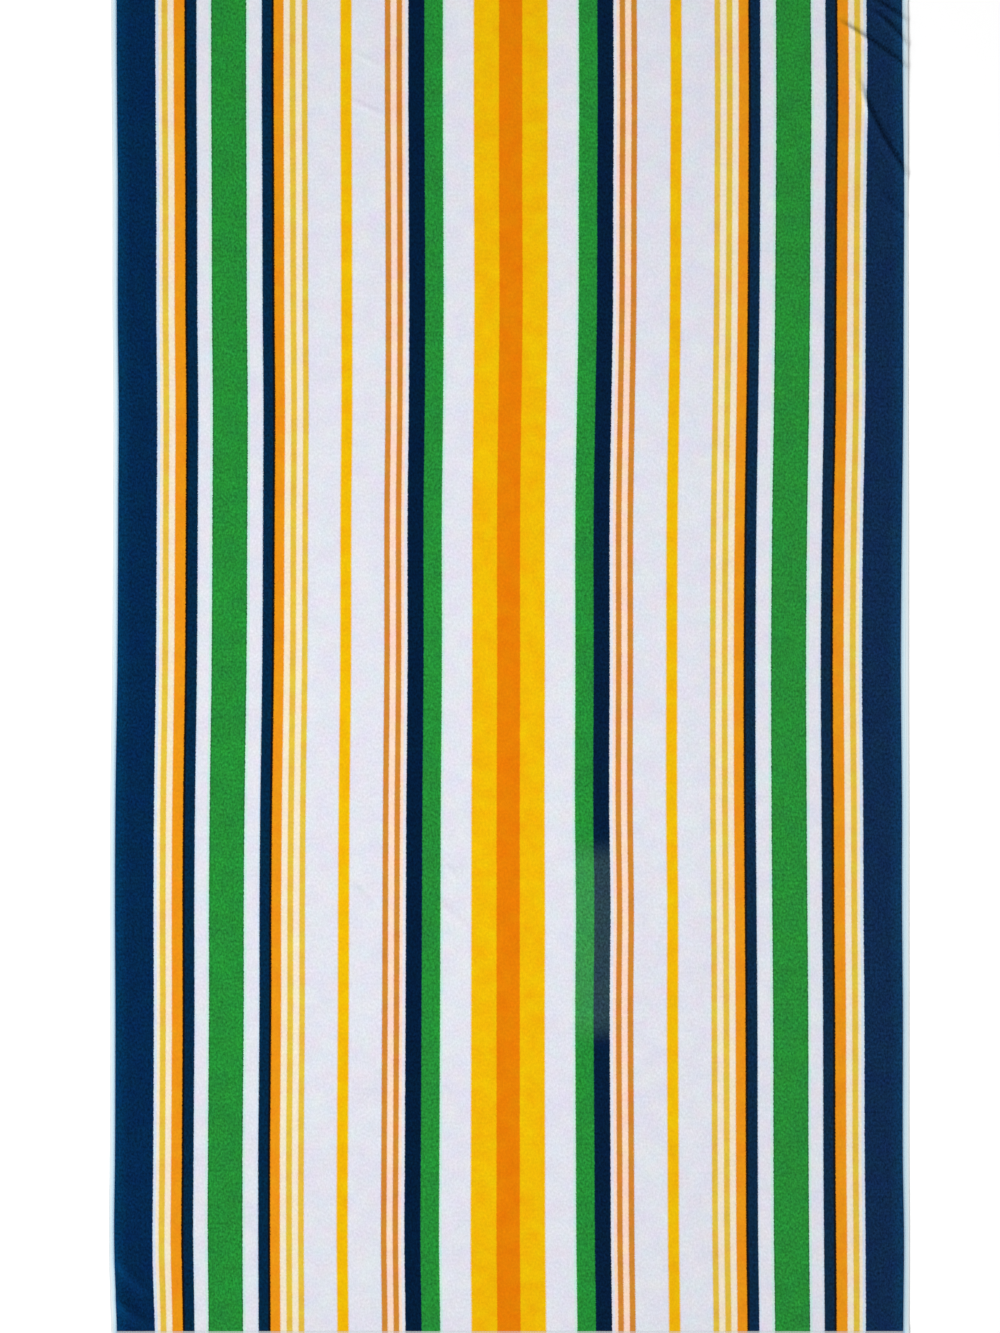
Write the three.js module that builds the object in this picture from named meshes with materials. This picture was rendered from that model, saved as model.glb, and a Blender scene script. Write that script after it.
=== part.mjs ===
import * as THREE from "three";
import { mergeVertices } from "three/addons/utils/BufferGeometryUtils.js";

// A velour beach towel, laid out face up: one woven cloth with pile on both faces,
// a bare selvedge down each long side and a flat-woven, turned hem across each end.
// Millimetres. +X runs across the towel, +Y along it and +Z up from the surface it lies on.

// Cut size and margins
const WIDTH = 1000;
const LENGTH = 1700;
const SELVEDGE = 7.3;
const HEM = 14;

// Thicknesses
const PILE_TOP = 3.6; // looped back, ground cloth and cut-pile front together
const SELVEDGE_THICK = 0.9;
const HEM_THICK = 2.2; // three layers of ground cloth
const PILE_LEAN = 1.4; // how far in from its foot the pile reaches its full height

// Each margin's section, from the cut edge inwards to the foot of the pile and its full height.
const sideSection = [
  { inset: 0, bottom: 0.1, top: 0.1 + SELVEDGE_THICK },
  { inset: SELVEDGE - 1, bottom: 0.9, top: 0.9 + SELVEDGE_THICK },
  { inset: SELVEDGE, bottom: 0, top: PILE_TOP - 1.2 },
  { inset: SELVEDGE + PILE_LEAN, bottom: 0, top: PILE_TOP },
];
const endSection = [
  { inset: 0, bottom: 0, top: HEM_THICK, hem: true },
  { inset: HEM - 0.5, bottom: 0, top: HEM_THICK, hem: true },
  { inset: HEM, bottom: 0, top: PILE_TOP - 1.2 },
  { inset: HEM + PILE_LEAN, bottom: 0, top: PILE_TOP },
];

// Where the body of the towel is divided: each stretch ends at "to" in so many equal steps.
const ACROSS = [
  { to: -440, steps: 7 },
  { to: -380, steps: 2 },
  { to: 400, steps: 8 },
  { to: 432, steps: 4 },
  { to: WIDTH / 2 - SELVEDGE - PILE_LEAN, steps: 12 },
];
const ALONG = [
  { to: -725, steps: 12 },
  { to: 500, steps: 16 },
  { to: 600, steps: 5 },
  { to: LENGTH / 2 - HEM - PILE_LEAN, steps: 30 },
];

// How far the threads wander to the right of straight, on three lines along the towel:
// its left edge, the foot of the pile's right side and its right edge.
const LANES = [-WIDTH / 2, WIDTH / 2 - SELVEDGE, WIDTH / 2];
const WANDER = [
  { y: -850, lanes: [1.5, 0, 1] },
  { y: -720, lanes: [-2, 1, 1.5] },
  { y: -620, lanes: [-1, -0.5, 1] },
  { y: -430, lanes: [-0.5, -0.5, 1] },
  { y: -310, lanes: [-1, -1.5, 1] },
  { y: -180, lanes: [-0.5, -1.5, 1] },
  { y: 0, lanes: [2, -3, 0.5] },
  { y: 190, lanes: [3, -1.5, 0.5] },
  { y: 320, lanes: [3.5, 0, 0] },
  { y: 440, lanes: [2.5, 0.5, 0] },
  { y: 600, lanes: [2.5, 1, -0.5] },
  { y: 710, lanes: [1.5, -0.5, -0.5] },
  { y: 850, lanes: [1, -1.5, -0.5] },
];

// Broad lifts off the surface: a soft mound with its own reach across and along.
const MOUNDS = [
  { name: "pulled corner", x: 500, y: 770, acrossReach: 52, alongReach: 75, height: 2.5 },
  { name: "below the pulled corner", x: 500, y: 640, acrossReach: 34, alongReach: 60, height: 1.5 },
  { name: "opposite corner", x: -500, y: -800, acrossReach: 40, alongReach: 45, height: 1.5 },
];

// Folds: low ridges that run from their first point to their last, bowed to the left by "bow" at
// the middle, and fade in and out over their two fades.
const FOLDS = [
  { name: "long pull", x0: 432, y0: 744, x1: 500, y1: 606, bow: -7, height: 3.5, width: 5, fadeIn: 55, fadeOut: 8 },
  { name: "middle pull", x0: 404, y0: 808, x1: 500, y1: 742, bow: 2, height: 3.5, width: 5, fadeIn: 30, fadeOut: 6 },
  { name: "upper pull", x0: 449, y0: 821, x1: 500, y1: 769, bow: 3, height: 3.2, width: 4.5, fadeIn: 20, fadeOut: 6 },
  { name: "top pull", x0: 451, y0: 832, x1: 500, y1: 801, bow: 1, height: 3.2, width: 4.5, fadeIn: 18, fadeOut: 6 },
  { name: "edge pull", x0: 462, y0: 592, x1: 500, y1: 555, bow: -2, height: 1.2, width: 5, fadeIn: 20, fadeOut: 6 },
  { name: "upper ruck", x0: -500, y0: -742, x1: -446, y1: -798, bow: -4, height: 3, width: 10, fadeIn: 15, fadeOut: 35 },
  { name: "lower ruck", x0: -500, y0: -790, x1: -448, y1: -834, bow: -5, height: 3, width: 10, fadeIn: 12, fadeOut: 30 },
];
const SLACK = 0.15; // lifts under this much lie down flat

const wander = new THREE.CubicInterpolant(
  WANDER.map((row) => row.y),
  WANDER.flatMap((row) => row.lanes),
  LANES.length,
);

const easing = (t) => THREE.MathUtils.smoothstep(t, 0, 1);

// Sideways wander of the thread that crosses x at the height y.
function wanderAt(x, y) {
  const values = wander.evaluate(y);
  let lane = 0;
  while (lane < LANES.length - 2 && x > LANES[lane + 1]) lane += 1;
  const share = easing((x - LANES[lane]) / (LANES[lane + 1] - LANES[lane]));
  return THREE.MathUtils.lerp(values[lane], values[lane + 1], share);
}

function moundAt(mound, x, y) {
  const across = (x - mound.x) / mound.acrossReach;
  const along = (y - mound.y) / mound.alongReach;
  return mound.height * Math.exp(-across * across - along * along);
}

function foldAt(fold, x, y) {
  const run = new THREE.Vector2(fold.x1 - fold.x0, fold.y1 - fold.y0);
  const from = new THREE.Vector2(x - fold.x0, y - fold.y0);
  const length = run.length();
  const gone = from.dot(run) / length;
  const t = THREE.MathUtils.clamp(gone / length, 0, 1);
  const aside = run.cross(from) / length - 4 * fold.bow * t * (1 - t);
  const fade = easing(gone / fold.fadeIn) * easing((length - gone) / fold.fadeOut);
  return fold.height * fade * Math.exp(-Math.pow(aside / fold.width, 2));
}

// How far the cloth's underside stands off the surface.
function liftAt(x, y) {
  let lift = -SLACK;
  for (const mound of MOUNDS) lift += moundAt(mound, x, y);
  for (const fold of FOLDS) lift += foldAt(fold, x, y);
  return Math.max(0, lift);
}

// Every line of the grid in one direction: its place, and the section it has there.
function gridLines(half, lowSection, highSection, stretches) {
  const body = { bottom: 0, top: PILE_TOP };
  const lines = lowSection.map((row) => ({ ...row, at: row.inset - half }));
  let from = lines.at(-1).at;
  for (const { to, steps } of stretches) {
    for (let i = 1; i <= steps; i += 1) lines.push({ ...body, at: from + ((to - from) * i) / steps });
    from = to;
  }
  const high = highSection.map((row) => ({ ...row, at: half - row.inset }));
  return lines.concat(high.reverse().slice(1));
}

const across = gridLines(WIDTH / 2, sideSection, sideSection, ACROSS);
const along = gridLines(LENGTH / 2, endSection, endSection, ALONG);

// The towel starts as a flat slab with one cell to each grid step, and each of its corners is
// then moved to its own line across and along, onto its section and over the folds.
function towelGeometry() {
  const cellsAcross = across.length - 1;
  const cellsAlong = along.length - 1;
  const slab = new THREE.BoxGeometry(cellsAcross, cellsAlong, 1, cellsAcross, cellsAlong, 1);
  slab.deleteAttribute("normal");
  slab.deleteAttribute("uv");
  const cloth = mergeVertices(slab);
  const point = cloth.attributes.position;
  for (let i = 0; i < point.count; i += 1) {
    const column = across[Math.round(point.getX(i) + cellsAcross / 2)];
    const row = along[Math.round(point.getY(i) + cellsAlong / 2)];
    const section = row.hem || row.top < column.top ? row : column;
    const x = column.at + wanderAt(column.at, row.at);
    const height = point.getZ(i) > 0 ? section.top : section.bottom;
    point.setXYZ(i, x, row.at, height + liftAt(x, row.at));
  }
  cloth.computeVertexNormals();
  return cloth;
}

const velour = new THREE.MeshStandardMaterial({ color: 0xe3e4f1, roughness: 0.95, metalness: 0 });

const towel = new THREE.Mesh(towelGeometry(), velour);
towel.name = "towel";

// The origin stands under the middle of the towel's box, on the surface it lies on.
const box = new THREE.Box3().setFromObject(towel);
const middle = box.getCenter(new THREE.Vector3());
towel.position.set(-middle.x, -middle.y, -box.min.z);

const beachTowel = new THREE.Group();
beachTowel.add(towel);

export default beachTowel;
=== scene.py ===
import math

import bmesh
import bpy
import numpy as np
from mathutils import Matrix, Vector


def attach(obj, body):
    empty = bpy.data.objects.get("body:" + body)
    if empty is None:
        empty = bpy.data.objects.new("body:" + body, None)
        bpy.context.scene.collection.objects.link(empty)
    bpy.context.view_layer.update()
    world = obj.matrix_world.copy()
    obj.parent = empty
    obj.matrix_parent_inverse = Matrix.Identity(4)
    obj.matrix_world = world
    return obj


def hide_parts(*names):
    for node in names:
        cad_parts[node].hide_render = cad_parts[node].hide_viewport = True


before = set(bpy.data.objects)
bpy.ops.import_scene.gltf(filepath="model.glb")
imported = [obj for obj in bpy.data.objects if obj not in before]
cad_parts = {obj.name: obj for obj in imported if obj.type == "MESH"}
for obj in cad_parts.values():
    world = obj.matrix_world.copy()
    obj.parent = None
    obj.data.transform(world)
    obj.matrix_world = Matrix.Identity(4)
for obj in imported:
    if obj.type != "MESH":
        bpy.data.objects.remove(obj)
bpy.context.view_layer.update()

# A velour beach towel laid out face up. Metres, +X across it, +Y along it, +Z up.

# Cut size and margins
WIDTH = 1.000
LENGTH = 1.700
SELVEDGE = 0.0073
HEM = 0.014

# Where the pile ends at each side and at both ends
LEFT_FOOT = -WIDTH / 2 + SELVEDGE
RIGHT_FOOT = WIDTH / 2 - SELVEDGE
PILE_END = LENGTH / 2 - HEM

# Layers, from the surface it lies on upwards
PILE_TOP = 0.0036
GROUND_THICK = 0.0007
GROUND_MIDDLE = 0.00185  # the ground cloth's middle between the two piles
HEM_PITCH = 0.00075  # from one layer of a folded hem to the next
HEM_FLOOR = 0.00035  # middle of the hem's lowest layer
HEM_TUCK = 0.0010  # from the foot of the pile to the middle of the hem's inner turn
HEM_CUT = 0.0020  # from the towel's end to the cut edge inside the hem
SELVEDGE_MIDDLE = 0.00055  # the bare selvedge droops to the surface
FRONT_FOOT = GROUND_MIDDLE + 0.0002
BACK_FOOT = GROUND_MIDDLE - 0.0002

# Camera over the towel, as the photograph frames it
VIEW_LENGTH = 1.6704  # how much of the towel's length it shows
VIEW_ASIDE = (-0.0118, -0.0040)  # from the middle of the cut cloth
CAMERA_HEIGHT = 6.5
SENSOR = 36.0  # millimetres

# How far the threads wander to the right of straight, in millimetres, on nine lines along the
# towel: its left edge, seven over the pile, the last at the foot of its right side, and its right
# edge.
LANES = [-WIDTH / 2, -0.33, -0.11, 0.0, 0.11, 0.33, 0.45, RIGHT_FOOT, WIDTH / 2]
WANDER = [
    {"y": -0.850, "lanes": [1.5, -3.0, -2.0, -0.5, 0.5, 2.0, 2.0, 0.0, 1.0]},
    {"y": -0.720, "lanes": [-2.0, -3.5, -3.5, -1.5, -1.0, 0.5, 1.5, 1.0, 1.5]},
    {"y": -0.620, "lanes": [-1.0, -3.5, -3.0, -1.5, -1.5, 0.0, 0.5, -0.5, 1.0]},
    {"y": -0.430, "lanes": [-0.5, -2.0, -2.0, -1.5, -2.5, -0.5, 0.0, -0.5, 1.0]},
    {"y": -0.310, "lanes": [-1.0, -2.0, -1.5, -1.5, -1.5, -1.5, -1.0, -1.5, 1.0]},
    {"y": -0.180, "lanes": [-0.5, -1.0, -1.0, -1.5, -3.0, -2.5, -1.5, -1.5, 1.0]},
    {"y": 0.000, "lanes": [2.0, 1.5, 0.5, -1.0, -2.5, -3.0, -3.0, -3.0, 0.5]},
    {"y": 0.190, "lanes": [3.0, 2.5, 0.5, -1.0, -2.5, -1.5, -1.5, -1.5, 0.5]},
    {"y": 0.320, "lanes": [3.5, 3.0, 2.0, 0.5, -0.5, 0.5, 1.0, 0.0, 0.0]},
    {"y": 0.440, "lanes": [2.5, 2.0, 2.5, 2.0, 1.5, 2.0, 1.5, 0.5, 0.0]},
    {"y": 0.600, "lanes": [2.5, 1.5, 2.0, 1.5, 2.0, 3.0, 2.5, 1.0, -0.5]},
    {"y": 0.710, "lanes": [1.5, 1.0, 1.5, 1.5, 2.5, 3.5, 3.5, -0.5, -0.5]},
    {"y": 0.850, "lanes": [1.0, 1.0, 1.5, 1.5, 2.0, 3.0, 2.5, -1.5, -0.5]},
]

# Broad lifts off the surface: a soft mound with its own reach across and along.
MOUNDS = [
    {"name": "pulled corner", "at": (0.500, 0.770), "reach": (0.052, 0.075), "height": 0.0025},
    {"name": "below it", "at": (0.500, 0.640), "reach": (0.034, 0.060), "height": 0.0015},
    {"name": "opposite corner", "at": (-0.500, -0.800), "reach": (0.040, 0.045), "height": 0.0015},
]

# Folds: low ridges that run from one point to another, bowed to their left by "bow" at the middle,
# and fade in and out over their two fades. "nap" is painted light and shade: how much lighter (or
# darker, below 0) the colour is painted on their left, on the crest and on their right, for the
# light and shade on the fold's flanks and crest.
FOLDS = [
    {"name": "long pull", "run": ((0.432, 0.744), (0.500, 0.606)), "bow": -0.007,
     "height": 0.0035, "width": 0.0048, "fades": (0.055, 0.008), "nap": (-0.50, 0.0, 0.06)},
    {"name": "middle pull", "run": ((0.404, 0.808), (0.500, 0.742)), "bow": 0.002,
     "height": 0.0035, "width": 0.0044, "fades": (0.030, 0.006), "nap": (-0.42, 0.0, -0.05)},
    {"name": "upper pull", "run": ((0.449, 0.821), (0.500, 0.769)), "bow": 0.003,
     "height": 0.0032, "width": 0.0042, "fades": (0.020, 0.006), "nap": (-0.45, 0.0, 0.10)},
    {"name": "top pull", "run": ((0.451, 0.832), (0.500, 0.801)), "bow": 0.001,
     "height": 0.0032, "width": 0.0042, "fades": (0.018, 0.006), "nap": (-0.45, 0.0, 0.10)},
    {"name": "edge pull", "run": ((0.462, 0.592), (0.500, 0.555)), "bow": -0.002,
     "height": 0.0012, "width": 0.005, "fades": (0.020, 0.006), "nap": (-0.18, 0.0, 0.05)},
    {"name": "upper ruck", "run": ((-0.500, -0.742), (-0.446, -0.798)), "bow": -0.004,
     "height": 0.003, "width": 0.010, "fades": (0.015, 0.035), "nap": (-0.10, 0.50, -0.20)},
    {"name": "lower ruck", "run": ((-0.500, -0.790), (-0.448, -0.834)), "bow": -0.005,
     "height": 0.003, "width": 0.010, "fades": (0.012, 0.030), "nap": (-0.30, 0.50, -0.10)},
]
SLACK = 0.00015  # lifts under this much lie down flat
PULL = 0.5  # how far a fold draws the threads beside it, as a share of its height

# Small creases left by folding: an oval welt, or a dent where its height is below 0, with its
# middle, its half sizes and its turn in degrees.
CREASES = [
    {"name": "top left", "at": (-0.183, 0.758), "half": (0.036, 0.007), "turn": -26, "height": 0.0007},
    {"name": "below it", "at": (-0.179, 0.695), "half": (0.034, 0.007), "turn": -25, "height": 0.0010},
    {"name": "narrow dent", "at": (-0.179, -0.285), "half": (0.030, 0.007), "turn": -45,
     "height": -0.0008},
    {"name": "beside the dent", "at": (-0.075, -0.311), "half": (0.052, 0.011), "turn": -42,
     "height": 0.0013},
    {"name": "short welt", "at": (-0.071, -0.261), "half": (0.016, 0.007), "turn": -53,
     "height": 0.0008},
    {"name": "right of middle", "at": (0.188, -0.343), "half": (0.024, 0.008), "turn": 55,
     "height": 0.0010},
    {"name": "low welt", "at": (-0.068, -0.596), "half": (0.018, 0.009), "turn": 0, "height": 0.0006},
    {"name": "lowest welt", "at": (-0.063, -0.704), "half": (0.021, 0.007), "turn": 26,
     "height": 0.0008},
    {"name": "right edge", "at": (0.480, 0.535), "half": (0.016, 0.006), "turn": -28, "height": 0.0008},
    {"name": "long dent", "at": (0.262, 0.058), "half": (0.060, 0.012), "turn": 65, "height": -0.0007},
]

# The folds lie outside these lines, and there the cloth is divided more finely. Each grid has so
# many steps before, on and after its plain part, and others on the bare selvedges and the hems.
PLAIN_ACROSS = (-0.44, 0.40)
PLAIN_ALONG = (-0.74, 0.54)
PILE_STEPS = {"across": (22, 60, 50), "along": (36, 80, 150)}
GROUND_STEPS = {"across": (18, 60, 40), "along": (30, 80, 130)}
SELVEDGE_STEPS = {"left": 5, "right": 7}
HEM_STEPS = {"top": 6, "turn": 8, "under": 5, "tuck": 5}

# The shape of a pile's edge, from its foot inwards: where each line stands at the foot and at
# the tips, and how much of the pile's full depth it has there.
PILE_RIM = [
    {"foot": 0.0, "tips": -0.0004, "depth": 0.45},
    {"foot": 0.0004, "tips": -0.0001, "depth": 0.80},
    {"foot": 0.0010, "tips": 0.0006, "depth": 0.95},
    {"foot": 0.0018, "tips": 0.0016, "depth": 1.0},
]

# How far from a hem the drooping selvedge starts to rise to it
HEM_RISE = 0.012

# Cut tufts along the front pile's edge, in rows that lean outwards. "more_lean" is how far each
# leans more or less than its row, in degrees, and "aside" how far it turns aside, in radians.
TUFT = {"length": 0.0012, "foot": 0.00034, "tip": 0.00012, "sides": 5, "pitch": 0.0011,
        "sunk": 0.0001, "more_lean": 14, "aside": 0.6, "sizes": (0.85, 1.2), "seed": 7}
TUFT_ROWS = [
    {"inset": 0.0009, "lean": 36},
    {"inset": 0.0004, "lean": 60},
]

# Terry loops along the back pile's edge, turned aside as the tufts are
LOOP = {"span": 0.0009, "thick": 0.00022, "sides": 4, "bends": 5, "pitch": 0.0024,
        "inset": 0.0002, "sunk": 0.0008, "aside": 0.35, "sizes": (0.9, 1.15), "seed": 11}

UNEVEN = 0.3  # how far tufts and loops stray along their row, as a share of their pitch

# Lockstitch that holds each hem
STITCH = {"length": 0.0026, "thick": 0.00034, "pitch": 0.0033, "from_pile": 0.0016}

MAP_RIM = 0.006  # margin left around each face on a slab's own map
HIDDEN_SHARE = 0.06  # of a pile's own map, for its face against the ground cloth
EDGE_PLACES = 600  # at which the wander of both edges is measured

# Yarns, and colours painted for light and shade, as sRGB hex
YARNS = {
    "navy": "#03264b",
    "teal navy": "#023156",
    "narrow navy": "#022541",
    "deep navy": "#021b37",
    "green": "#238634",
    # painted shade of the white tufts along the green's edges
    "shaded green": "#1f6a33",
    "yellow": "#e6b206",
    "orange": "#de7b04",
    "light orange": "#e28f15",
    "thin yellow": "#dab63d",
    "thin orange": "#c8812e",
    "white": "#d8d9e3",
    "cream": "#e9dcc3",
    "peach": "#f0d2be",
    "mint": "#c0e0d6",
    "ice": "#cbd8e8",
    # painted shade of the orange tufts over the navy
    "shade": "#100e0c",
    # navy fibres' tint with painted shade beside the pile
    "steel": "#629dc6",
    "pale blue": "#cdf0ff",
    "bleached": "#eef6fa",
    "weft": "#e6e9ea",  # crosses every stripe of the ground cloth
    # painted sheen, a grey haze over the right side
    "painted haze": "#625a48",
    "rubbed": "#aae1d3",
    "sewing thread": "#dfe4e8",
}

# The stripes from the middle of the towel outwards, the same to both sides. The first is a half.
# "edge" is half the width over which a stripe's outer tufts mix with the next. A white stripe
# is tinted where stray fibres of its neighbour cross it (mint, ice). Where the orange tufts lean
# over the navy ones beside them, and the white ones over the green, their shade is painted as a
# thin dark stripe (shade, shaded green).
STRIPES = [
    {"yarn": "orange", "width": 0.0146, "edge": 0.0007},
    {"yarn": "yellow", "width": 0.0318, "edge": 0.0010},
    {"yarn": "white", "width": 0.0351, "edge": 0.0006},
    {"yarn": "mint", "width": 0.0032, "edge": 0.0005},
    {"yarn": "green", "width": 0.0231, "edge": 0.0006},
    {"yarn": "deep navy", "width": 0.0205, "edge": 0.0005},
    {"yarn": "white", "width": 0.0038, "edge": 0.0005},
    {"yarn": "peach", "width": 0.0038, "edge": 0.0006},
    {"yarn": "thin orange", "width": 0.0070, "edge": 0.0007},
    {"yarn": "peach", "width": 0.0074, "edge": 0.0007},
    {"yarn": "thin orange", "width": 0.0073, "edge": 0.0007},
    {"yarn": "white", "width": 0.0412, "edge": 0.0010},
    {"yarn": "yellow", "width": 0.0144, "edge": 0.0010},
    {"yarn": "white", "width": 0.0407, "edge": 0.0008},
    {"yarn": "thin yellow", "width": 0.0074, "edge": 0.0008},
    {"yarn": "cream", "width": 0.0075, "edge": 0.0008},
    {"yarn": "thin yellow", "width": 0.0075, "edge": 0.0008},
    {"yarn": "cream", "width": 0.0075, "edge": 0.0007},
    {"yarn": "light orange", "width": 0.0122, "edge": 0.0005},
    {"yarn": "shade", "width": 0.0031, "edge": 0.0006},
    {"yarn": "narrow navy", "width": 0.0122, "edge": 0.0005},
    {"yarn": "ice", "width": 0.0025, "edge": 0.0005},
    {"yarn": "white", "width": 0.0136, "edge": 0.0005},
    {"yarn": "mint", "width": 0.0032, "edge": 0.0004},
    {"yarn": "shaded green", "width": 0.0016, "edge": 0.0005},
    {"yarn": "green", "width": 0.0409, "edge": 0.0005},
    {"yarn": "shaded green", "width": 0.0016, "edge": 0.0004},
    {"yarn": "mint", "width": 0.0032, "edge": 0.0005},
    {"yarn": "white", "width": 0.0123, "edge": 0.0005},
    {"yarn": "ice", "width": 0.0025, "edge": 0.0005},
    {"yarn": "narrow navy", "width": 0.0124, "edge": 0.0006},
    {"yarn": "shade", "width": 0.0031, "edge": 0.0005},
    {"yarn": "light orange", "width": 0.0135, "edge": 0.0007},
    {"yarn": "cream", "width": 0.0075, "edge": 0.0007},
    {"yarn": "thin yellow", "width": 0.0076, "edge": 0.0008},
    {"yarn": "cream", "width": 0.0038, "edge": 0.0005},
    {"yarn": "ice", "width": 0.0037, "edge": 0.0005},
    {"yarn": "navy", "width": 0.0384, "edge": 0.0060},
    {"yarn": "teal navy", "width": 0.0102, "edge": 0.0002},
]
# The bare selvedge outside the pile. Its steel band beside the pile is the navy fibres' tint with
# painted shade of the pile's edge.
SELVEDGE_STRIPES = [
    {"yarn": "steel", "width": 0.0020, "edge": 0.0007},
    {"yarn": "pale blue", "width": 0.0026, "edge": 0.0012},
    {"yarn": "bleached", "width": 0.0100, "edge": 0.0},
]

EDGE_WOBBLE = 0.0014  # how far tufts of one stripe push into the next
PAINTED_HAZE = {"from": 0.05, "to": 0.45, "share": 0.03}  # painted sheen: the right side is mixed a little towards a grey haze

# A patch where the nap of the right inner green and navy stripes is rubbed pale
RUBBED = {"across": (0.0848, 0.1282), "along": (-0.462, -0.236), "fades": (0.0008, 0.020),
          "share": 0.05}

# Spacings of the fine patterns. Tufts, loops and ribs show only where they are drawn coarser
# than real ones, which come about every 1.0, 1.4 and 0.6 mm.
TUFT_SPACING = 0.0018
CLUMP_SPACING = 0.0033
DRIFT_SPACING = 0.022
RAGGED_SPACING = 0.00125
LOOP_SPACING = 0.0021
RIB_SPACING = 0.0009
WEFT_SPACING = 0.0007
BAND_REPEAT = math.tau / 20  # a wave texture's bands repeat at this distance when its scale is 1

# The velour's grain: how much the dye drifts, how the tufts slant (in radians) and stretch, which
# peaks of their noise glint and by how much (painted highlights of the tips), the middle of glints
# and clumps together, how strongly they show on a dark and on a pale yarn (its brightness, the
# strength), and how high the fuzz of the tips stands.
GRAIN = {"drift": 0.25, "slant": 0.6, "stretch": 0.5, "peaks": (0.44, 0.75), "glint": 0.40,
         "middle": 0.59, "on_dark": (0.10, 1.7), "on_pale": (0.60, 0.28), "fuzz": 0.0004}

# Terry loops are painted darker from their crowns out to "reach", as a share of their spacing, down to
# "shade" there: painted shade between the loops.
KNOBS = {"reach": 0.7, "shade": 0.72, "height": 0.0012}

# The ground weave: how much of the warp's colour shows through the weft, how vivid its dyes are,
# how uneven its ribs run, how dark and light their painted shade and light is, and how high they
# stand.
WOVEN = {"warp": 0.5, "vivid": 1.45, "uneven": 0.4, "shade": (0.86, 1.08), "height": 0.00015}

# Studio: each lamp shines from its place to its aim. A sun's size is an angle.
FLOOR = {"half": 6.0, "drop": 0.0002}
LAMPS = [
    {"name": "key", "kind": "SUN", "at": (-1.9, -1.5, 2.4), "aim": (0, 0, 0), "energy": 1.2,
     "size": math.radians(20)},
    {"name": "overhead", "kind": "AREA", "at": (-0.30, -0.15, 2.4), "aim": (-0.30, -0.15, 0),
     "energy": 24.0, "size": 1.0},
]
SURROUND = 0.48  # how bright the white around the scene is


def camera():
    """Looks straight down from well above, so the towel keeps its outline."""
    data = bpy.data.cameras.new("camera")
    data.sensor_width = SENSOR
    data.lens = SENSOR * CAMERA_HEIGHT / VIEW_LENGTH
    made = bpy.data.objects.new("camera", data)
    made.location = (VIEW_ASIDE[0] + SHIFT, VIEW_ASIDE[1], CAMERA_HEIGHT)
    bpy.context.scene.collection.objects.link(made)
    bpy.context.scene.camera = made


def linear(hexed):
    """An sRGB hex colour as linear red, green, blue and alpha."""
    parts = [int(hexed[k : k + 2], 16) / 255 for k in (1, 3, 5)]
    return (*[p / 12.92 if p <= 0.04045 else ((p + 0.055) / 1.055) ** 2.4 for p in parts], 1.0)


def add(tree, kind, inputs=None, **settings):
    """Adds a node with its settings; each input is a value or another node's output. A Mix node
    of colours takes its share at input 0 and its colours at 6 and 7, and gives output 2."""
    made = tree.nodes.new(kind)
    for name, value in settings.items():
        setattr(made, name, value)
    for name, value in (inputs or {}).items():
        if isinstance(value, bpy.types.NodeSocket):
            tree.links.new(value, made.inputs[name])
        else:
            made.inputs[name].default_value = value
    return made


def material(name):
    """A new material with an empty node tree."""
    made = bpy.data.materials.new(name)
    made.use_nodes = True
    made.node_tree.nodes.clear()
    return made, made.node_tree


def eased(t):
    """A smooth step from 0 to 1, level at both ends."""
    t = np.clip(t, 0.0, 1.0)
    return t * t * (3 - 2 * t)


def wander_at(x, y):
    """Sideways wander of the threads that cross x at y: smooth along the rows and between lanes."""
    at = np.array([row["y"] for row in WANDER])
    values = np.array([row["lanes"] for row in WANDER]) * 0.001
    steps = np.diff(at)
    rises = np.diff(values, axis=0) / steps[:, None]
    slopes = np.zeros_like(values)
    slopes[1:-1] = (rises[1:] + rises[:-1]) / 2
    row = np.clip(np.searchsorted(at, y, side="right") - 1, 0, len(steps) - 1)
    step = steps[row][:, None]
    t = np.clip((y - at[row])[:, None] / step, 0, 1)
    here = values[row] * (1 + 2 * t) * (1 - t) ** 2 + slopes[row] * step * t * (1 - t) ** 2
    there = values[row + 1] * t * t * (3 - 2 * t) + slopes[row + 1] * step * t * t * (t - 1)
    lanes = np.array(LANES)
    lane = np.clip(np.searchsorted(lanes, x, side="right") - 1, 0, len(lanes) - 2)
    share = eased((x - lanes[lane]) / (lanes[lane + 1] - lanes[lane]))
    all_lanes = here + there
    pick = np.arange(len(x))
    return all_lanes[pick, lane] * (1 - share) + all_lanes[pick, lane + 1] * share


def fold_place(fold, x, y):
    """How far a place is to a fold's left, how strong the fold is there, and which way left is."""
    (x0, y0), (x1, y1) = fold["run"]
    length = math.hypot(x1 - x0, y1 - y0)
    along = (x1 - x0) / length, (y1 - y0) / length
    gone = (x - x0) * along[0] + (y - y0) * along[1]
    t = np.clip(gone / length, 0, 1)
    aside = (y - y0) * along[0] - (x - x0) * along[1] - 4 * fold["bow"] * t * (1 - t)
    fade_in, fade_out = fold["fades"]
    fade = eased(gone / fade_in) * eased((length - gone) / fade_out)
    return aside, fade, (-along[1], along[0])


def fold_at(fold, x, y):
    """How high one fold stands."""
    aside, fade, _ = fold_place(fold, x, y)
    return fold["height"] * fade * np.exp(-((aside / fold["width"]) ** 2))


def painted_fold_light_at(x, y):
    """Painted light and shade of the folds: how much lighter or darker the colour is painted there."""
    light = np.zeros_like(x)
    for fold in FOLDS:
        aside, fade, _ = fold_place(fold, x, y)
        left, crest, right = fold["nap"]
        t = aside / fold["width"]
        flank = math.sqrt(2 * math.e) * np.abs(t) * np.exp(-(t**2))  # 1 at its strongest
        light += fade * (np.where(t > 0, left, right) * flank + crest * np.exp(-2 * t**2))
    return light


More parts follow.
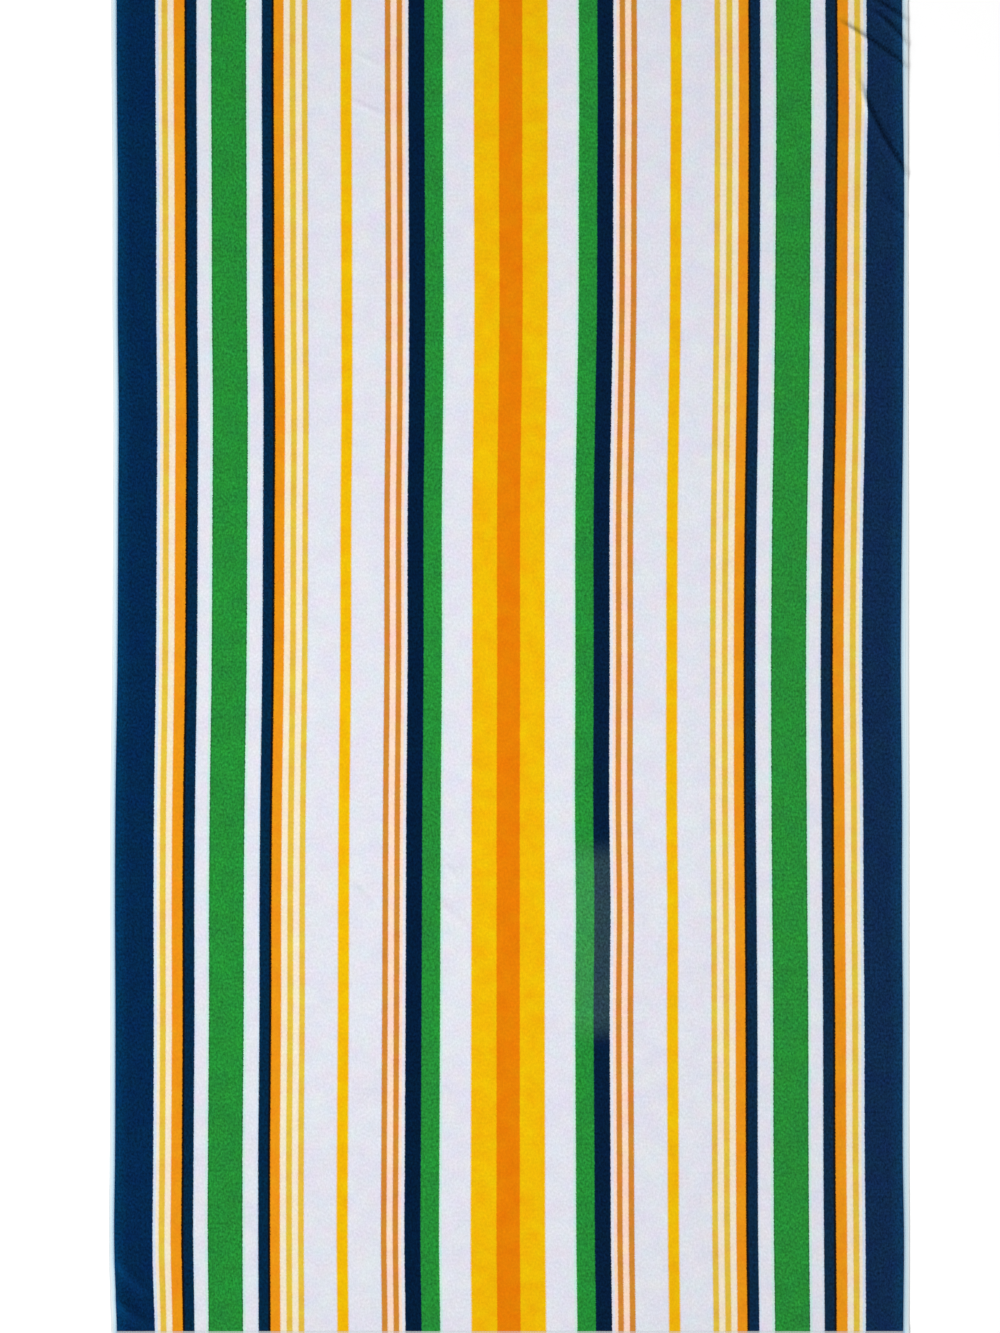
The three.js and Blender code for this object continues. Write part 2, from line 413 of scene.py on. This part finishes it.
def lift_at(x, y):
    """How far the cloth's underside stands off the surface."""
    lift = np.full_like(x, -SLACK)
    for mound in MOUNDS:
        across = (x - mound["at"][0]) / mound["reach"][0]
        along = (y - mound["at"][1]) / mound["reach"][1]
        lift += mound["height"] * np.exp(-across**2 - along**2)
    for fold in FOLDS:
        lift += fold_at(fold, x, y)
    return np.maximum(0, lift)


def stretches(start, *ends):
    """Grid lines from start through each end, so many equal steps to each."""
    lines = [start]
    for end, steps in ends:
        lines += list(np.linspace(lines[-1], end, steps + 1)[1:])
    return np.array(lines)


def vertex_places(mesh):
    """Where the vertices are, a row for each."""
    at = np.empty(len(mesh.vertices) * 3, dtype=np.float32)
    mesh.vertices.foreach_get("co", at)
    return at.reshape(-1, 3)


def corner_vertices(mesh):
    """Which vertex each corner of each face stands on."""
    corner = np.empty(len(mesh.loops), dtype=np.int32)
    mesh.loops.foreach_get("vertex_index", corner)
    return corner


def lay_map(mesh, name, places):
    """Adds a UV map with a place for each corner of each face."""
    layer = mesh.uv_layers.new(name=name)
    layer.data.foreach_set("uv", places.astype(np.float32).ravel())


def slab(name, across, along, place, upper_share):
    """A closed slab, one cell to each grid step, whose corners place(i, j, upper) puts down.
    Across and along say where its lines come on its own map, which gives the upper face
    upper_share of the height."""
    cells_across, cells_along = len(across) - 1, len(along) - 1
    bm = bmesh.new()
    bmesh.ops.create_grid(bm, x_segments=cells_across, y_segments=cells_along, size=0.5)
    bmesh.ops.solidify(bm, geom=bm.faces[:], thickness=1.0)
    mesh = bpy.data.meshes.new(name)
    bm.to_mesh(mesh)
    bm.free()
    at = vertex_places(mesh)
    i = np.rint((at[:, 0] + 0.5) * cells_across).astype(int)
    j = np.rint((at[:, 1] + 0.5) * cells_along).astype(int)
    upper = at[:, 2] > (at[:, 2].min() + at[:, 2].max()) / 2
    mesh.vertices.foreach_set("co", place(i, j, upper).astype(np.float32).ravel())
    mesh.update()
    flat_map(mesh, across[i], along[j], upper, upper_share)
    outwards(mesh)
    return piece(name, mesh)


def flat_map(mesh, u, v, upper, upper_share):
    """Lays the slab's upper face above its under face on one sheet. The rim goes with the upper
    face, its lower corners just outside."""
    corner = corner_vertices(mesh)
    u, v, upper = u[corner], v[corner], upper[corner]
    above = np.repeat(upper.reshape(-1, 4).any(axis=1), 4)  # every face has four corners
    hanging = above & ~upper

    def fitted(share, low, high):
        outside = hanging * ((share == 1).astype(float) - (share == 0))
        return low + MAP_RIM + (high - low - 2 * MAP_RIM) * share + outside * MAP_RIM / 2

    u = fitted(u, 0.0, 1.0)
    v = fitted(v, np.where(above, 1 - upper_share, 0.0), np.where(above, 1.0, 1 - upper_share))
    lay_map(mesh, "OFBake", np.column_stack([u, v]))


def spaced(lines):
    """Where lines come on a map from 0 to 1."""
    return (lines - lines[0]) / (lines[-1] - lines[0])


def outwards(mesh):
    """Points all faces outwards and shades them smooth."""
    bm = bmesh.new()
    bm.from_mesh(mesh)
    bmesh.ops.recalc_face_normals(bm, faces=bm.faces[:])
    for face in bm.faces:
        face.smooth = True
    bm.to_mesh(mesh)
    bm.free()


def piece(name, mesh, feet=None):
    """Puts a mesh into the scene as a piece of the towel, with its weave map."""
    made = bpy.data.objects.new(name, mesh)
    bpy.context.scene.collection.objects.link(made)
    weave_map(mesh, feet)
    return made


def pulled(x, y):
    """How far the folds draw the threads that cross them, across and along."""
    across, along = np.zeros_like(x), np.zeros_like(x)
    for fold in FOLDS:
        aside, fade, (out_x, out_y) = fold_place(fold, x, y)
        t = aside / fold["width"]
        drawn = PULL * fold["height"] * fade * t / (1 + t * t)
        across += drawn * out_x
        along += drawn * out_y
    return across, along


def weave_map(mesh, feet=None):
    """A UV map in metres of cloth: u across the warp as woven, before it wandered, and v along.
    Feet, where given, are the places whose yarn the vertices belong to."""
    at = vertex_places(mesh).astype(float) if feet is None else feet
    x, y = at[:, 0] - SHIFT, at[:, 1]
    across, along = pulled(x, y)
    places = np.column_stack([x - wander_at(x, y) + across, y + along])
    lay_map(mesh, "weave", places[corner_vertices(mesh)])
    # The "nap" attribute carries the folds' painted light and shade into the velour's colour.
    nap = mesh.attributes.new("nap", "FLOAT", "POINT")
    nap.data.foreach_set("value", painted_fold_light_at(x, y).astype(np.float32))


def pile_lines(low, high, plain, steps):
    """Grid lines of a pile one way: at the foot, at the tips, and the share of depth they have.
    Between its rims there are so many steps before, on and after its plain part."""
    foot = [low + row["foot"] for row in PILE_RIM]
    tips = [low + row["tips"] for row in PILE_RIM]
    inner = PILE_RIM[-1]
    ends = (*plain, high - inner["foot"])
    body = stretches(low + inner["foot"], *zip(ends, steps))[1:-1]
    foot = foot + list(body) + [high - row["foot"] for row in reversed(PILE_RIM)]
    tips = tips + list(body) + [high - row["tips"] for row in reversed(PILE_RIM)]
    rim = [row["depth"] for row in PILE_RIM]
    depth = rim + [1.0] * len(body) + rim[::-1]
    return np.array(foot), np.array(tips), np.array(depth)


def pile(name, across, along, foot_z, tips_z):
    """One face's pile, as the slab that its yarns fill."""
    foot_x, tips_x, depth_x = across
    foot_y, tips_y, depth_y = along

    def place(i, j, upper):
        tips = upper == (tips_z > foot_z)
        x = np.where(tips, tips_x[i], foot_x[i])
        y = np.where(tips, tips_y[j], foot_y[j])
        x = x + wander_at(x, y)
        depth = np.where(tips, np.minimum(depth_x[i], depth_y[j]), 0.0)
        z = foot_z + (tips_z - foot_z) * depth + lift_at(x, y)
        return np.column_stack([x + SHIFT, y, z])

    upper_share = 1 - HIDDEN_SHARE if tips_z > foot_z else HIDDEN_SHARE
    return slab(name, spaced(foot_x), spaced(foot_y), place, upper_share)


def hem_turn(y, radius, way):
    """Half a turn of the cloth about y: outwards and down where way is 1, inwards and up at -1."""
    angles = np.linspace(0, math.pi, HEM_STEPS["turn"] + 1)[1:-1]
    return [(y + way * radius * math.sin(a), HEM_FLOOR + radius * (1 + way * math.cos(a)))
            for a in angles]


def hem_path():
    """The ground cloth's path along the towel, with each hem turned under twice."""
    outer, inner = LENGTH / 2 - GROUND_THICK / 2 - HEM_PITCH, PILE_END + HEM_TUCK
    body = stretches(-PILE_END, *zip((*PLAIN_ALONG, PILE_END), GROUND_STEPS["along"]))
    top = stretches(PILE_END, (outer, HEM_STEPS["top"]))[1:]
    under = stretches(outer, (inner, HEM_STEPS["under"]))
    tuck = stretches(inner, (LENGTH / 2 - HEM_CUT, HEM_STEPS["tuck"]))
    far = [(y, GROUND_MIDDLE) for y in top] + hem_turn(outer, HEM_PITCH, 1)
    far += [(y, HEM_FLOOR) for y in under] + hem_turn(inner, HEM_PITCH / 2, -1)
    far += [(y, HEM_FLOOR + HEM_PITCH) for y in tuck]
    near = [(-y, z) for y, z in reversed(far)]
    return np.array(near + [(y, GROUND_MIDDLE) for y in body] + far)


def ground_cloth():
    """The woven ground: bare at the selvedges and hems, hidden between the piles elsewhere."""
    path = hem_path()
    run = np.gradient(path, axis=0)
    run /= np.linalg.norm(run, axis=1)[:, None]
    left, right = -WIDTH / 2, WIDTH / 2
    lines = stretches(left, (LEFT_FOOT, SELVEDGE_STEPS["left"]),
                      *zip((*PLAIN_ACROSS, RIGHT_FOOT), GROUND_STEPS["across"]),
                      (right, SELVEDGE_STEPS["right"]))

    def place(i, j, upper):
        x, y = lines[i], path[j, 0]
        side = np.where(upper, 0.5, -0.5) * GROUND_THICK
        bare = np.where(x < 0, x - left, right - x) / SELVEDGE
        in_hem = eased((np.abs(y) - PILE_END + HEM_RISE) / HEM_RISE)
        droop = (GROUND_MIDDLE - SELVEDGE_MIDDLE) * (1 - eased(bare)) * (1 - in_hem)
        x = x + wander_at(x, y)
        z = path[j, 1] - droop + run[j, 0] * side + lift_at(x, y)
        return np.column_stack([x + SHIFT, y - run[j, 1] * side, z])

    return slab("ground_cloth", spaced(lines), np.linspace(0, 1, len(path)), place, 0.5)


def edge_places(pitch, inset, rng):
    """Places around the pile's edge, by pitch apart, with the way out from each."""
    left, right, end = LEFT_FOOT + inset, RIGHT_FOOT - inset, PILE_END - inset
    rows = []
    for start, stop, out in (
        ((left, -end), (left, end), math.pi),
        ((right, -end), (right, end), 0.0),
        ((left, -end), (right, -end), -math.pi / 2),
        ((left, end), (right, end), math.pi / 2),
    ):
        count = int(math.dist(start, stop) / pitch)
        t = (np.arange(count) + 0.5 + rng.uniform(-UNEVEN, UNEVEN, count)) / count
        line = np.outer(1 - t, start) + np.outer(t, stop)
        rows.append(np.column_stack([line, np.full(count, out)]))
    return np.vstack(rows)


def on_cloth(x, y, z):
    """Places on the laid towel for places on the flat cloth."""
    x = x + wander_at(x, y)
    return np.column_stack([x + SHIFT, y, z + lift_at(x, y)])


def scattered(name, unit, places, turns, sizes):
    """One piece of many copies of a small mesh, each at its place, turn and size."""
    points = bpy.data.meshes.new(name)
    points.vertices.add(len(places))
    points.vertices.foreach_set("co", places.astype(np.float32).ravel())
    for key, kind, values in (("turn", "FLOAT_VECTOR", turns), ("size", "FLOAT", sizes)):
        field = points.attributes.new(key, kind, "POINT")
        field.data.foreach_set("vector" if kind == "FLOAT_VECTOR" else "value",
                               values.astype(np.float32).ravel())
    holder = bpy.data.objects.new(name, points)
    sample = bpy.data.objects.new(name + "_unit", unit)
    bpy.context.scene.collection.objects.link(holder)

    tree = bpy.data.node_groups.new(name, "GeometryNodeTree")
    tree.interface.new_socket("Geometry", in_out="INPUT", socket_type="NodeSocketGeometry")
    tree.interface.new_socket("Geometry", in_out="OUTPUT", socket_type="NodeSocketGeometry")
    given = add(tree, "NodeGroupInput")
    copied = add(tree, "GeometryNodeObjectInfo", {"Object": sample})
    turn = add(tree, "GeometryNodeInputNamedAttribute", {"Name": "turn"}, data_type="FLOAT_VECTOR")
    way = add(tree, "FunctionNodeEulerToRotation", {"Euler": turn.outputs["Attribute"]})
    size = add(tree, "GeometryNodeInputNamedAttribute", {"Name": "size"}, data_type="FLOAT")
    placed = add(tree, "GeometryNodeInstanceOnPoints",
                 {"Points": given.outputs[0], "Instance": copied.outputs["Geometry"],
                  "Rotation": way.outputs["Rotation"], "Scale": size.outputs["Attribute"]})
    real = add(tree, "GeometryNodeRealizeInstances", {"Geometry": placed.outputs["Instances"]})
    add(tree, "NodeGroupOutput", {"Geometry": real.outputs["Geometry"]})
    holder.modifiers.new("copies", "NODES").node_group = tree
    evaluated = holder.evaluated_get(bpy.context.evaluated_depsgraph_get())
    joined = bpy.data.meshes.new_from_object(evaluated)
    bpy.data.objects.remove(holder)
    bpy.data.objects.remove(sample)
    for key in ("turn", "size"):
        if key in joined.attributes:
            joined.attributes.remove(joined.attributes[key])
    outwards(joined)
    each = len(unit.vertices)
    return piece(name, joined, np.repeat(places, each, axis=0))


def unit_mesh(name, build):
    """The small mesh that a scattered piece repeats."""
    bm = bmesh.new()
    build(bm)
    mesh = bpy.data.meshes.new(name)
    bm.to_mesh(mesh)
    bm.free()
    return mesh


def tufts():
    """Cut tufts that fray the velour's edge."""
    rng = np.random.default_rng(TUFT["seed"])

    def build(bm):
        bmesh.ops.create_cone(bm, cap_ends=True, segments=TUFT["sides"], radius1=TUFT["foot"],
                              radius2=TUFT["tip"], depth=TUFT["length"])
        bmesh.ops.translate(bm, verts=bm.verts[:], vec=(0, 0, TUFT["length"] / 2))

    places, turns = [], []
    swing, aside = TUFT["more_lean"], TUFT["aside"]
    for row in TUFT_ROWS:
        line = edge_places(TUFT["pitch"], row["inset"], rng)
        lean = np.radians(row["lean"] + rng.uniform(-swing, swing, len(line)))
        way = line[:, 2] + rng.uniform(-aside, aside, len(line))
        places.append(on_cloth(line[:, 0], line[:, 1], FRONT_FOOT - TUFT["sunk"]))
        turns.append(np.column_stack([np.zeros(len(line)), lean, way]))
    places, turns = np.vstack(places), np.vstack(turns)
    sizes = rng.uniform(*TUFT["sizes"], len(places))
    return scattered("edge_tufts", unit_mesh("tuft", build), places, turns, sizes)


def loops():
    """Uncut loops that stand out along the back pile's edge."""
    rng = np.random.default_rng(LOOP["seed"])

    def build(bm):
        bmesh.ops.create_circle(bm, cap_ends=False, segments=LOOP["sides"], radius=LOOP["thick"])
        bmesh.ops.translate(bm, verts=bm.verts[:], vec=(LOOP["span"] / 2, 0, 0))
        bmesh.ops.spin(bm, geom=bm.verts[:] + bm.edges[:], cent=(0, 0, 0), axis=(0, 1, 0),
                       angle=math.pi, steps=LOOP["bends"])
        ends = [edge for edge in bm.edges if edge.is_boundary]
        bmesh.ops.holes_fill(bm, edges=ends, sides=LOOP["sides"])

    line = edge_places(LOOP["pitch"], LOOP["inset"], rng)
    way = line[:, 2] + rng.uniform(-LOOP["aside"], LOOP["aside"], len(line))
    places = on_cloth(line[:, 0], line[:, 1], BACK_FOOT - LOOP["sunk"])
    lying = np.full(len(line), -math.pi / 2)
    turns = np.column_stack([lying, np.zeros(len(line)), way + math.pi / 2])
    sizes = rng.uniform(*LOOP["sizes"], len(line))
    return scattered("edge_loops", unit_mesh("loop", build), places, turns, sizes)


def stitches():
    """Rows of lockstitch beside the pile on both faces of each hem."""

    def build(bm):
        bmesh.ops.create_uvsphere(bm, u_segments=6, v_segments=4, radius=0.5)
        bmesh.ops.scale(bm, verts=bm.verts[:],
                        vec=(STITCH["length"], STITCH["thick"], STITCH["thick"]))

    count = int((RIGHT_FOOT - LEFT_FOOT) / STITCH["pitch"])
    x = LEFT_FOOT + (np.arange(count) + 0.5) * STITCH["pitch"]
    front = GROUND_MIDDLE + GROUND_THICK / 2
    back = HEM_FLOOR - GROUND_THICK / 2 + STITCH["thick"] / 3  # drawn into the cloth
    rows = []
    for end in (-1, 1):
        y = np.full(count, end * (PILE_END + STITCH["from_pile"]))
        rows += [on_cloth(x, y, front), on_cloth(x, y, back)]
    places = np.vstack(rows)
    turns, sizes = np.zeros((len(places), 3)), np.ones(len(places))
    return scattered("hem_stitches", unit_mesh("stitch", build), places, turns, sizes)


def edge_shift():
    """What puts the middle of the towel's outline over the origin, as the frame has it."""
    y = np.linspace(-LENGTH / 2, LENGTH / 2, EDGE_PLACES)
    left = (wander_at(np.full_like(y, -WIDTH / 2), y) - WIDTH / 2).min()
    right = (wander_at(np.full_like(y, WIDTH / 2), y) + WIDTH / 2).max()
    return -(left + right) / 2


def stripe_colour(tree, weave, stripes):
    """The dyed yarn's colour at a place in the weave, with each stripe's edge a little ragged."""
    ragged = add(tree, "ShaderNodeTexNoise", {"Vector": weave, "Scale": 1 / RAGGED_SPACING,
                                               "Detail": 1.0})
    parted = add(tree, "ShaderNodeSeparateXYZ", {"Vector": weave})
    pushed = add(tree, "ShaderNodeMath", {0: ragged.outputs["Fac"], 1: 0.5}, operation="SUBTRACT")
    across = add(tree, "ShaderNodeMath", {0: pushed.outputs[0], 1: 2 * EDGE_WOBBLE,
                                          2: parted.outputs["X"]}, operation="MULTIPLY_ADD")
    out = add(tree, "ShaderNodeMath", {0: across.outputs[0]}, operation="ABSOLUTE").outputs[0]
    colour, side = linear(YARNS[stripes[0]["yarn"]]), stripes[0]["width"]
    for stripe, following in zip(stripes, stripes[1:]):
        past = add(tree, "ShaderNodeMapRange",
                   {"Value": out, "From Min": side - stripe["edge"], "From Max": side + stripe["edge"]})
        mixed = add(tree, "ShaderNodeMix", {0: past.outputs["Result"], 6: colour,
                                            7: linear(YARNS[following["yarn"]])}, data_type="RGBA")
        colour, side = mixed.outputs[2], side + following["width"]
    # Painted sheen: a grey haze mixed in, growing towards the right side.
    hazed = add(tree, "ShaderNodeMapRange",
                 {"Value": parted.outputs["X"], "From Min": PAINTED_HAZE["from"], "From Max": PAINTED_HAZE["to"],
                  "To Max": PAINTED_HAZE["share"]})
    return add(tree, "ShaderNodeMix", {0: hazed.outputs["Result"], 6: colour,
                                       7: linear(YARNS["painted haze"])}, data_type="RGBA").outputs[2]


def rubbed(tree, weave):
    """How far the nap is rubbed away at a place in the weave."""
    parted = add(tree, "ShaderNodeSeparateXYZ", {"Vector": weave})
    within = 1.0
    for axis, reach, fade in zip("XY", (RUBBED["across"], RUBBED["along"]), RUBBED["fades"]):
        low, high = reach
        half = (high - low) / 2
        off = add(tree, "ShaderNodeMath", {0: parted.outputs[axis], 1: (low + high) / 2},
                  operation="SUBTRACT")
        size = add(tree, "ShaderNodeMath", {0: off.outputs[0]}, operation="ABSOLUTE")
        inside = add(tree, "ShaderNodeMapRange",
                     {"Value": size.outputs[0], "From Min": half + fade, "From Max": half - fade},
                     interpolation_type="SMOOTHSTEP")
        within = add(tree, "ShaderNodeMath", {0: inside.outputs["Result"], 1: within},
                     operation="MULTIPLY").outputs[0]
    return add(tree, "ShaderNodeMath", {0: within, 1: RUBBED["share"]},
               operation="MULTIPLY").outputs[0]


def creased(tree, weave, height):
    """Adds the small creases to a height, all in metres."""
    for crease in CREASES:
        place = add(tree, "ShaderNodeMapping",
                    {"Vector": weave, "Location": (*crease["at"], 0), "Scale": (*crease["half"], 1),
                     "Rotation": (0, 0, math.radians(crease["turn"]))}, vector_type="TEXTURE")
        oval = add(tree, "ShaderNodeTexGradient", {"Vector": place.outputs["Vector"]},
                   gradient_type="SPHERICAL")
        dent = add(tree, "ShaderNodeMapRange", {"Value": oval.outputs["Fac"],
                                                "To Max": crease["height"]},
                   interpolation_type="SMOOTHSTEP")
        height = add(tree, "ShaderNodeMath", {0: dent.outputs["Result"], 1: height},
                     operation="ADD").outputs[0]
    return height


def grained(tree, weave):
    """The tips of single tufts, and how far they and clumps of them, which lean this way and
    that, make the nap lighter or darker: short slanting glints, which are painted highlights,
    and soft patches of random tone."""
    leaning = add(tree, "ShaderNodeMapping", {"Vector": weave, "Rotation": (0, 0, GRAIN["slant"]),
                                              "Scale": (1.0, GRAIN["stretch"], 1.0)})
    tips = add(tree, "ShaderNodeTexNoise", {"Vector": leaning.outputs["Vector"], "Detail": 3.0,
                                            "Scale": 1 / TUFT_SPACING, "Roughness": 0.6})
    clumps = add(tree, "ShaderNodeTexNoise", {"Vector": weave, "Scale": 1 / CLUMP_SPACING,
                                              "Detail": 2.0})
    low, high = GRAIN["peaks"]
    glints = add(tree, "ShaderNodeMapRange", {"Value": tips.outputs["Fac"], "From Min": low,
                                              "From Max": high, "To Max": GRAIN["glint"]})
    both = add(tree, "ShaderNodeMath", {0: glints.outputs["Result"], 1: clumps.outputs["Fac"]},
               operation="ADD")
    spread = add(tree, "ShaderNodeMath", {0: both.outputs[0], 1: GRAIN["middle"]},
                 operation="SUBTRACT")
    return tips.outputs["Fac"], spread.outputs[0]


def velour():
    """Cut-pile cotton: a soft matt nap, with fine specks of painted highlight where its tips catch the
    light.
    """
    made, tree = material("cotton_velour_cut_pile")
    weave = add(tree, "ShaderNodeUVMap", uv_map="weave").outputs["UV"]
    colour = stripe_colour(tree, weave, STRIPES)
    worn = add(tree, "ShaderNodeMix", {0: rubbed(tree, weave), 6: colour,
                                       7: linear(YARNS["rubbed"])}, data_type="RGBA").outputs[2]

    # The dye and the lie of the nap drift a little over a finger's breadth.
    drift = add(tree, "ShaderNodeTexNoise", {"Vector": weave, "Scale": 1 / DRIFT_SPACING,
                                             "Detail": 3.0})
    dyed = add(tree, "ShaderNodeMix", {0: GRAIN["drift"], 6: worn, 7: drift.outputs["Color"]},
               data_type="RGBA", blend_type="OVERLAY").outputs[2]

    # The grain shows most in the dark yarns, and the folds' painted light and shade makes it lighter or
    # darker.
    tips, spread = grained(tree, weave)
    brightness = add(tree, "ShaderNodeSeparateColor", {"Color": worn}, mode="HSV").outputs["Blue"]
    (dark, strong), (pale, faint) = GRAIN["on_dark"], GRAIN["on_pale"]
    contrast = add(tree, "ShaderNodeMapRange",
                   {"Value": brightness, "From Min": dark, "From Max": pale, "To Min": strong,
                    "To Max": faint})
    # Painted light and shade of the folds, from the "nap" attribute, as a factor of 1 plus it.
    nap = add(tree, "ShaderNodeAttribute", attribute_name="nap").outputs["Fac"]
    lying = add(tree, "ShaderNodeMath", {0: nap, 1: 1.0}, operation="ADD")
    grain_and_painted_light = add(tree, "ShaderNodeMath", {0: spread, 1: contrast.outputs["Result"],
                                         2: lying.outputs[0]}, operation="MULTIPLY_ADD")
    coloured_with_painted_light = add(tree, "ShaderNodeMix", {0: 1.0, 6: dyed, 7: grain_and_painted_light.outputs[0]},
                 data_type="RGBA", blend_type="MULTIPLY")
    fuzz = add(tree, "ShaderNodeMath", {0: tips, 1: GRAIN["fuzz"]}, operation="MULTIPLY")
    height = creased(tree, weave, fuzz.outputs[0])
    bump = add(tree, "ShaderNodeBump", {"Height": height, "Distance": 1.0, "Strength": 1.0})
    shader = add(tree, "ShaderNodeBsdfPrincipled",
                 {"Base Color": coloured_with_painted_light.outputs[2], "Roughness": 0.95, "Specular IOR Level": 0.03,
                  "Sheen Weight": 0.06, "Sheen Roughness": 0.3, "Normal": bump.outputs["Normal"]})
    add(tree, "ShaderNodeOutputMaterial", {"Surface": shader.outputs["BSDF"]})
    return made


def terry():
    """Uncut terry loops: duller than the velour, with a knobbly surface."""
    made, tree = material("cotton_terry_loops")
    weave = add(tree, "ShaderNodeUVMap", uv_map="weave").outputs["UV"]
    colour = stripe_colour(tree, weave, STRIPES)
    knobs = add(tree, "ShaderNodeTexVoronoi", {"Vector": weave, "Scale": 1 / LOOP_SPACING})
    # Painted shade between the loops: darker away from their crowns. The same map raises the loops'
    # bump.
    depth = add(tree, "ShaderNodeMapRange", {"Value": knobs.outputs["Distance"], "To Min": 1.0,
                                             "From Max": KNOBS["reach"], "To Max": KNOBS["shade"]})
    shaded = add(tree, "ShaderNodeMix", {0: 1.0, 6: colour, 7: depth.outputs["Result"]},
                 data_type="RGBA", blend_type="MULTIPLY")
    bump = add(tree, "ShaderNodeBump", {"Height": depth.outputs["Result"], "Strength": 0.8,
                                        "Distance": KNOBS["height"]})
    shader = add(tree, "ShaderNodeBsdfPrincipled",
                 {"Base Color": shaded.outputs[2], "Roughness": 0.95, "Specular IOR Level": 0.15,
                  "Sheen Weight": 0.1, "Sheen Roughness": 0.6, "Normal": bump.outputs["Normal"]})
    add(tree, "ShaderNodeOutputMaterial", {"Surface": shader.outputs["BSDF"]})
    return made


def ground_weave():
    """Flat plain weave: each stripe's yarn paled by the weft across it, with fine ribs along it."""
    made, tree = material("cotton_flat_ground_weave")
    weave = add(tree, "ShaderNodeUVMap", uv_map="weave").outputs["UV"]
    colour = stripe_colour(tree, weave, STRIPES + SELVEDGE_STRIPES)
    pale = add(tree, "ShaderNodeMix", {0: WOVEN["warp"], 6: linear(YARNS["weft"]), 7: colour},
               data_type="RGBA")
    dyed = add(tree, "ShaderNodeHueSaturation", {"Color": pale.outputs[2],
                                                 "Saturation": WOVEN["vivid"]})
    ribs, weft = (
        add(tree, "ShaderNodeTexWave",
            {"Vector": weave, "Scale": BAND_REPEAT / spacing, "Distortion": WOVEN["uneven"]},
            wave_type="BANDS", bands_direction=way)
        for way, spacing in (("X", RIB_SPACING), ("Y", WEFT_SPACING))
    )
    woven = add(tree, "ShaderNodeMath", {0: ribs.outputs["Fac"], 1: weft.outputs["Fac"]},
                operation="ADD")
    dark, light = WOVEN["shade"]
    depth = add(tree, "ShaderNodeMapRange", {"Value": woven.outputs[0], "From Max": 2.0,
                                             "To Min": dark, "To Max": light}).outputs["Result"]
    # Painted shade and light of the ribs and weft, darker in the grooves between them.
    shaded = add(tree, "ShaderNodeMix", {0: 1.0, 6: dyed.outputs["Color"], 7: depth},
                 data_type="RGBA", blend_type="MULTIPLY")
    bump = add(tree, "ShaderNodeBump", {"Height": woven.outputs[0], "Strength": 0.8,
                                        "Distance": WOVEN["height"]})
    shader = add(tree, "ShaderNodeBsdfPrincipled",
                 {"Base Color": shaded.outputs[2], "Roughness": 0.85, "Specular IOR Level": 0.2,
                  "Sheen Weight": 0.05, "Normal": bump.outputs["Normal"]})
    add(tree, "ShaderNodeOutputMaterial", {"Surface": shader.outputs["BSDF"]})
    return made


def thread():
    """Fine twisted polyester thread: pale, a little glossier than the cotton."""
    made, tree = material("pale_sewing_thread")
    shader = add(tree, "ShaderNodeBsdfPrincipled",
                 {"Base Color": linear(YARNS["sewing thread"]), "Roughness": 0.55,
                  "Specular IOR Level": 0.4})
    add(tree, "ShaderNodeOutputMaterial", {"Surface": shader.outputs["BSDF"]})
    return made


def studio():
    """A pale floor, a soft key light from the lower left, a broad lamp overhead and an even
    white surround."""
    bm = bmesh.new()
    bmesh.ops.create_grid(bm, x_segments=1, y_segments=1, size=FLOOR["half"])
    mesh = bpy.data.meshes.new("floor")
    bm.to_mesh(mesh)
    bm.free()
    floor = bpy.data.objects.new("floor", mesh)
    floor.location.z = -FLOOR["drop"]
    bpy.context.scene.collection.objects.link(floor)
    made, tree = material("studio_floor")
    shader = add(tree, "ShaderNodeBsdfPrincipled",
                 {"Base Color": linear("#ffffff"), "Roughness": 1.0, "Specular IOR Level": 0.0})
    add(tree, "ShaderNodeOutputMaterial", {"Surface": shader.outputs["BSDF"]})
    mesh.materials.append(made)

    for given in LAMPS:
        lamp = bpy.data.lights.new(given["name"], given["kind"])
        lamp.energy = given["energy"]
        setattr(lamp, "angle" if given["kind"] == "SUN" else "size", given["size"])
        stand = bpy.data.objects.new(given["name"], lamp)
        stand.location = given["at"]
        stand.rotation_mode = "QUATERNION"
        shining = Vector(given["aim"]) - stand.location
        stand.rotation_quaternion = shining.to_track_quat("-Z", "Y")
        bpy.context.scene.collection.objects.link(stand)

    world = bpy.data.worlds.new("surround")
    bpy.context.scene.world = world
    world.use_nodes = True
    world.node_tree.nodes["Background"].inputs["Color"].default_value = (1, 1, 1, 1)
    world.node_tree.nodes["Background"].inputs["Strength"].default_value = SURROUND
    bpy.context.scene.view_settings.view_transform = "Standard"


SHIFT = edge_shift()
camera()
studio()

across_pile = pile_lines(LEFT_FOOT, RIGHT_FOOT, PLAIN_ACROSS, PILE_STEPS["across"])
along_pile = pile_lines(-PILE_END, PILE_END, PLAIN_ALONG, PILE_STEPS["along"])
front = pile("front_pile", across_pile, along_pile, FRONT_FOOT, PILE_TOP)
back = pile("back_pile", across_pile, along_pile, BACK_FOOT, 0.0)
ground = ground_cloth()

velour_finish, terry_finish = velour(), terry()
for made, finish, slot in (
    (front, velour_finish, "velour_pile"),
    (tufts(), velour_finish, "velour_pile"),
    (back, terry_finish, "loop_pile"),
    (loops(), terry_finish, "loop_pile"),
    (ground, ground_weave(), "ground_weave"),
    (stitches(), thread(), "sewing_thread"),
):
    made.data.materials.clear()
    made.data.materials.append(finish)
    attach(made, "root")
    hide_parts("towel")

CUT_LENGTH = float(np.linalg.norm(np.diff(hem_path(), axis=0), axis=1).sum())
